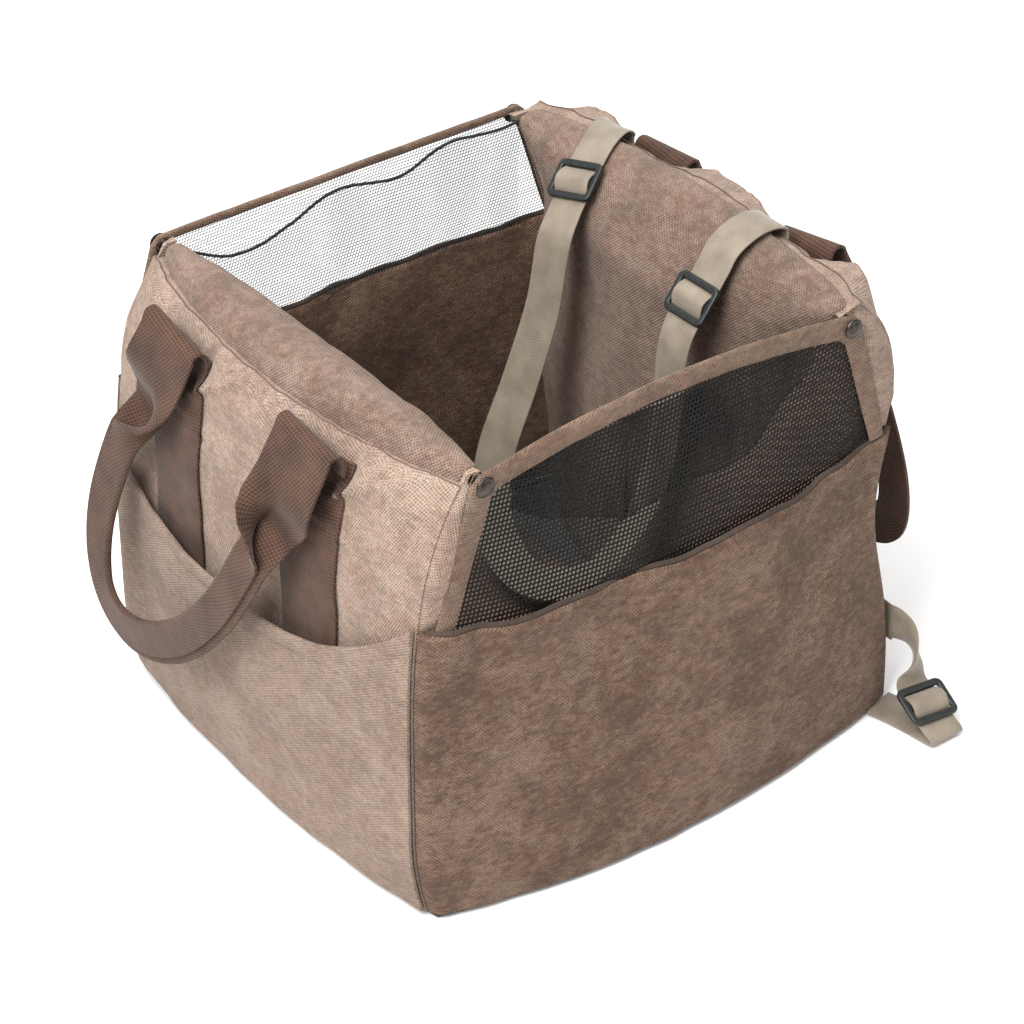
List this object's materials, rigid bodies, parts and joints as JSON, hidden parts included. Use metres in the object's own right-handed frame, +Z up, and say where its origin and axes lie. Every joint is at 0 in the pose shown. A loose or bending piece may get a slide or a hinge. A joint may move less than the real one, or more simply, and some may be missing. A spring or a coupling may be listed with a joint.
{
  "type": "pet carrier bag",
  "caption": "Open-topped soft pet carrier bag with padded end bolsters, fold-down mesh flaps, looped carrying handles and an inner seat tether.",
  "frame": {"origin": "middle of the base, on the floor", "axes": "+X towards the end with the inner tether, -Y towards the front wall, +Z up"},
  "size_m": [0.4372, 0.3992, 0.31],
  "materials": {
    "velour": "brown chenille velour with a crushed mottle",
    "velour_light": "light taupe side of the chenille velour",
    "velour_dark": "brown velour in the shade of the cabin",
    "black_felt": "black non-slip underside",
    "board": "grey stiffener board",
    "black_net": "open black polyester mesh",
    "gunmetal": "dark gunmetal snap fastener",
    "brown_webbing": "dark brown ribbed webbing",
    "black_plastic": "satin black moulded plastic",
    "taupe_webbing": "taupe nylon strap with a soft sheen"
  },
  "bodies": {
    "bag": {"back_left_snap_stud": "gunmetal", "back_right_snap_stud": "gunmetal", "back_wall": "velour", "base_board": "board", "floor_mat": "velour_dark", "front_left_snap_stud": "gunmetal", "front_right_snap_stud": "gunmetal", "front_wall": "velour", "left_bolster": "velour", "left_end_panel": "velour_light", "left_front_handle_anchor": "brown_webbing", "left_rear_handle_anchor": "brown_webbing", "right_bolster": "velour", "right_end_panel": "velour_light", "right_front_handle_anchor": "brown_webbing", "right_rear_handle_anchor": "brown_webbing", "seat_strap": "taupe_webbing", "slip_pocket": "velour_light", "tether_strap": "taupe_webbing", "underside_panel": "black_felt"},
    "front_flap": {"front_flap_binding": "velour", "front_flap_net": "black_net", "front_left_snap_cap": "gunmetal", "front_left_snap_socket": "gunmetal", "front_net_drape": "black_net", "front_right_snap_cap": "gunmetal", "front_right_snap_socket": "gunmetal"},
    "back_flap": {"back_flap_binding": "velour", "back_flap_net": "black_net", "back_left_snap_cap": "gunmetal", "back_left_snap_socket": "gunmetal", "back_net_drape": "black_net", "back_right_snap_cap": "gunmetal", "back_right_snap_socket": "gunmetal"},
    "left_handle": {"left_handle": "brown_webbing"},
    "right_handle": {"right_handle": "brown_webbing"},
    "rear_glide": {"rear_tether_glide": "black_plastic", "rear_tether_glide_webbing": "taupe_webbing"},
    "front_glide": {"front_tether_glide": "black_plastic", "front_tether_glide_webbing": "taupe_webbing"},
    "seat_glide": {"seat_strap_glide": "black_plastic", "seat_strap_glide_webbing": "taupe_webbing"}
  },
  "joints": [
    {"name": "left_handle_swing", "type": "hinge", "parent": "bag", "child": "left_handle", "pos_m": [-0.174, 0, 0.2835], "axis": [0, 1, 0], "range_deg": [0, 160]},
    {"name": "right_handle_swing", "type": "hinge", "parent": "bag", "child": "right_handle", "pos_m": [0.174, 0, 0.2835], "axis": [0, -1, 0], "range_deg": [0, 140]},
    {"name": "front_flap_fold", "type": "hinge", "parent": "bag", "child": "front_flap", "pos_m": [0, -0.165, 0.204], "axis": [1, 0, 0], "range_deg": [0, 150]},
    {"name": "back_flap_fold", "type": "hinge", "parent": "bag", "child": "back_flap", "pos_m": [0, 0.165, 0.21], "axis": [-1, 0, 0], "range_deg": [0, 150]},
    {"name": "rear_glide_slide", "type": "slide", "parent": "bag", "child": "rear_glide", "axis": [-0.7288, -0.2916, -0.6195], "range_m": [-0.003, 0.008]},
    {"name": "front_glide_slide", "type": "slide", "parent": "bag", "child": "front_glide", "axis": [0.6142, 0.0189, 0.789], "range_m": [-0.005, 0.009]},
    {"name": "seat_glide_slide", "type": "slide", "parent": "bag", "child": "seat_glide", "axis": [-0.1055, -0.9019, -0.4189], "range_m": [0, 0.003]}
  ]
}
